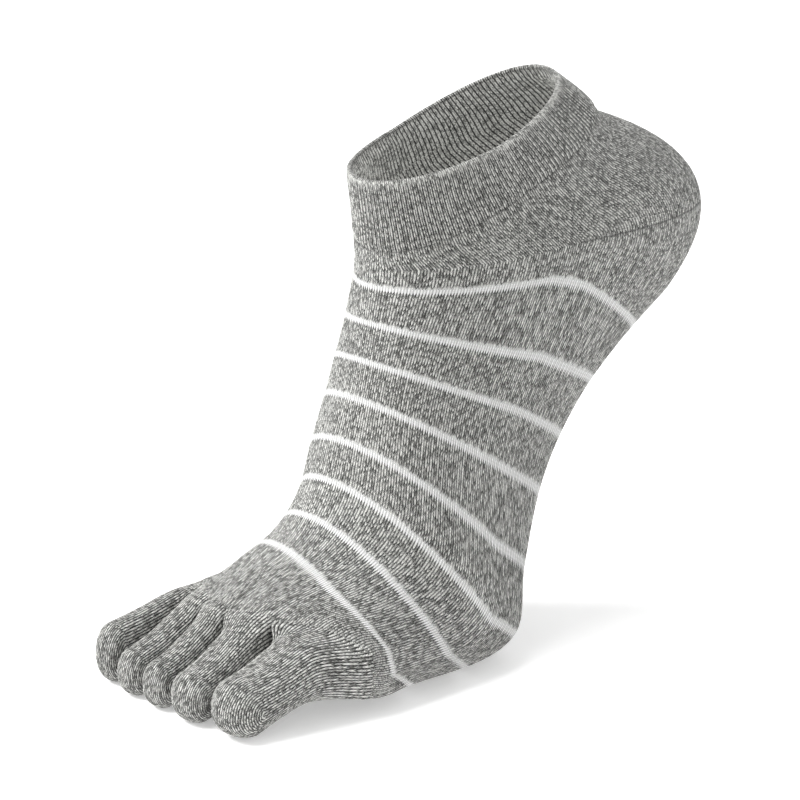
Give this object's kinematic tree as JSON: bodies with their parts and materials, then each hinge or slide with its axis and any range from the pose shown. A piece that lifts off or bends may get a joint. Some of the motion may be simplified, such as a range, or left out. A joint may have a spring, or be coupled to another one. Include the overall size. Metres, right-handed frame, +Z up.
{
  "type": "toe sock",
  "caption": "Low-cut knitted toe sock for a right foot, worn shape on tiptoe, with a ribbed cuff, a heel pocket, a separate pocket for each toe and narrow pale stripes across the foot.",
  "frame": {"origin": "the middle of the cuff's mouth, where the sock sits on the ankle", "axes": "+Z up, toes along -Y, the big toe's side +X, which is the inner side of a right foot"},
  "size_m": [0.0792, 0.2067, 0.1636],
  "materials": {
    "cuff_rib": "heather light grey cotton rib, folded double, matt",
    "body_knit": "heather light grey cotton jersey with narrow off-white stripes, matt"
  },
  "bodies": {
    "root": {"cuff": "cuff_rib", "ankle_band": "body_knit", "heel_pocket": "body_knit", "foot_instep": "body_knit", "foot_arch": "body_knit", "foot_ball": "body_knit", "toe_big": "body_knit", "toe_second": "body_knit", "toe_third": "body_knit", "toe_fourth": "body_knit", "toe_little": "body_knit"}
  },
  "joints": []
}
